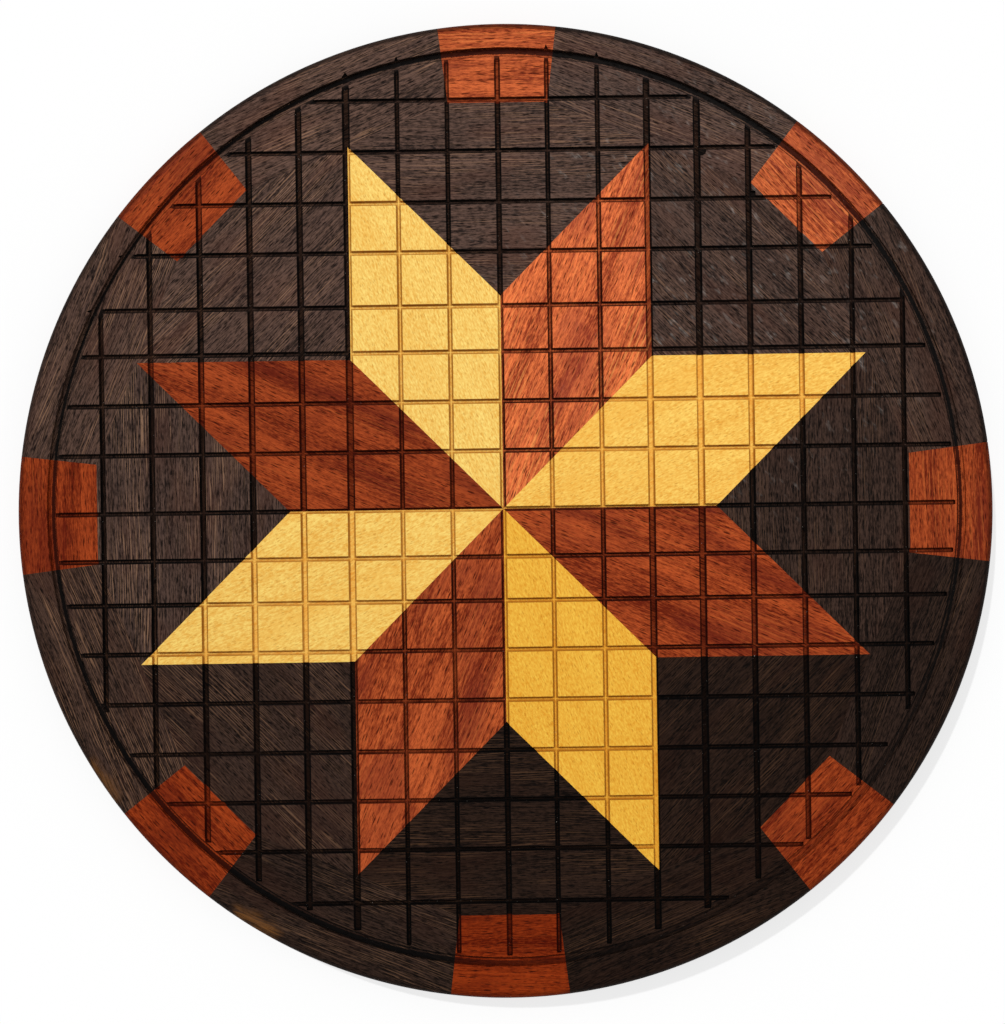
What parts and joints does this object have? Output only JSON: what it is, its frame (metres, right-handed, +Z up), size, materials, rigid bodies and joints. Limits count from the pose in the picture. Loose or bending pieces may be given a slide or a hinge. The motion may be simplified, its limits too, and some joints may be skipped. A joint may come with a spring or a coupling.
{
  "type": "inlaid grid game board",
  "caption": "Round solid-wood game board with a star inlay and keystoned rim, a hand-routed square grid inside a ring groove, and rubber feet underneath.",
  "frame": {"origin": "middle of the round outline, on the table under the feet", "axes": "+Z up out of the playing face; +X along the grid's rows to the player's right, +Y along its columns away from the player"},
  "size_m": [0.4946, 0.4946, 0.023],
  "materials": {
    "wenge": "open-pored dark brown hardwood, thin oil",
    "padauk": "open-pored orange-red hardwood, thin oil",
    "yellowheart": "fine-grained yellow hardwood, thin oil",
    "birch_plywood": "thin plywood, bare",
    "black_rubber": "matt moulded"
  },
  "bodies": {
    "root": {"star_point_yellow_ene": "yellowheart", "star_point_red_nne": "padauk", "star_point_yellow_nnw": "yellowheart", "star_point_red_wnw": "padauk", "star_point_yellow_wsw": "yellowheart", "star_point_red_ssw": "padauk", "star_point_yellow_sse": "yellowheart", "star_point_red_ese": "padauk", "infill_east": "wenge", "infill_northeast": "wenge", "infill_north": "wenge", "infill_northwest": "wenge", "infill_west": "wenge", "infill_southwest": "wenge", "infill_south": "wenge", "infill_southeast": "wenge", "rim_block_ene": "wenge", "rim_block_nne": "wenge", "rim_block_nnw": "wenge", "rim_block_wnw": "wenge", "rim_block_wsw": "wenge", "rim_block_ssw": "wenge", "rim_block_sse": "wenge", "rim_block_ese": "wenge", "keystone_east": "padauk", "keystone_northeast": "padauk", "keystone_north": "padauk", "keystone_northwest": "padauk", "keystone_west": "padauk", "keystone_southwest": "padauk", "keystone_south": "padauk", "keystone_southeast": "padauk", "rubber_feet": "black_rubber", "tongues_between_points": "birch_plywood", "tongues_point_to_infill": "birch_plywood", "tongues_infill_to_rim_block": "birch_plywood", "tongues_infill_to_keystone": "birch_plywood"}
  },
  "joints": []
}
